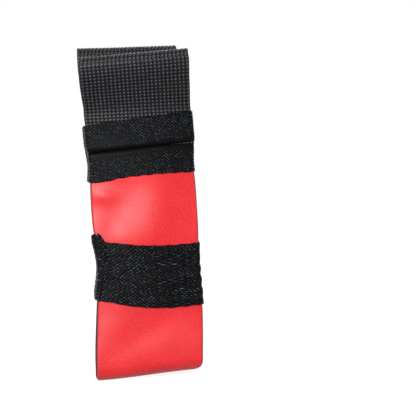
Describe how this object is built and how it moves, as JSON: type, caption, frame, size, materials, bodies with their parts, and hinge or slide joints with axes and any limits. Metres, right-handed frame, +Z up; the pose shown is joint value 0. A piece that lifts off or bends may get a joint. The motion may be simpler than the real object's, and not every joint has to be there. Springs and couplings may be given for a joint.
{
  "type": "gait belt",
  "caption": "Padded forearm sling: a foam-backed band bent into a U, with webbing hand loops at the top and hook-and-loop straps round the forearm and wrist.",
  "frame": {"origin": "on the surface the sling stands on, under the middle of the U's flat bottom", "axes": "+Z up towards the hand loops, +X across the band, -Y towards the front panel"},
  "size_m": [0.109, 0.095, 0.32],
  "materials": {
    "face_fabric": "matte brushed knit",
    "foam": "matte foam",
    "lining": "matte knit",
    "webbing": "coarse woven",
    "strap": "coarse elastic knit",
    "hook": "moulded hooks",
    "thread": "twisted thread"
  },
  "bodies": {
    "sling": {"face_fabric": "face_fabric", "foam_core": "foam", "lining": "lining", "front_webbing_base": "webbing", "front_base_stitches": "thread", "rear_webbing_base": "webbing", "rear_base_stitches": "thread", "forearm_strap": "strap", "forearm_anchor_stitches": "thread", "wrist_strap": "strap", "wrist_anchor_stitches": "thread"},
    "front_handle": {"front_handle_loop": "webbing"},
    "rear_handle": {"rear_handle_loop": "webbing"},
    "forearm_flap": {"forearm_tail": "strap", "forearm_hook_patch": "hook", "forearm_hook_stitches": "thread"},
    "forearm_tab": {"forearm_pull_tab": "strap"},
    "wrist_flap": {"wrist_tail": "strap", "wrist_hook_patch": "hook", "wrist_hook_stitches": "thread"},
    "wrist_tab": {"wrist_pull_tab": "strap", "wrist_tab_hem": "strap"}
  },
  "joints": [
    {"name": "front_handle_fold", "type": "hinge", "parent": "sling", "child": "front_handle", "pos_m": [0, -0.028, 0.2533], "axis": [1, 0, 0], "range_deg": [-20, 70], "stiffness_Nm_per_rad": 0.2},
    {"name": "rear_handle_fold", "type": "hinge", "parent": "sling", "child": "rear_handle", "pos_m": [0, 0.028, 0.2533], "axis": [-1, 0, 0], "range_deg": [-20, 70], "stiffness_Nm_per_rad": 0.2},
    {"name": "forearm_tail_peel", "type": "hinge", "parent": "sling", "child": "forearm_flap", "pos_m": [-0.054, 0.0409, 0.096], "axis": [0, 0, -1], "range_deg": [0, 150]},
    {"name": "forearm_tab_peel", "type": "hinge", "parent": "forearm_flap", "child": "forearm_tab", "pos_m": [-0.054, -0.043, 0.096], "axis": [0, 0, -1], "range_deg": [0, 150]},
    {"name": "wrist_tail_peel", "type": "hinge", "parent": "sling", "child": "wrist_flap", "pos_m": [-0.0529, 0.036, 0.219], "axis": [0, 0, 1], "range_deg": [0, 150]},
    {"name": "wrist_tab_peel", "type": "hinge", "parent": "wrist_flap", "child": "wrist_tab", "pos_m": [0.0091, 0.036, 0.219], "axis": [0, 0, 1], "range_deg": [0, 100]}
  ]
}
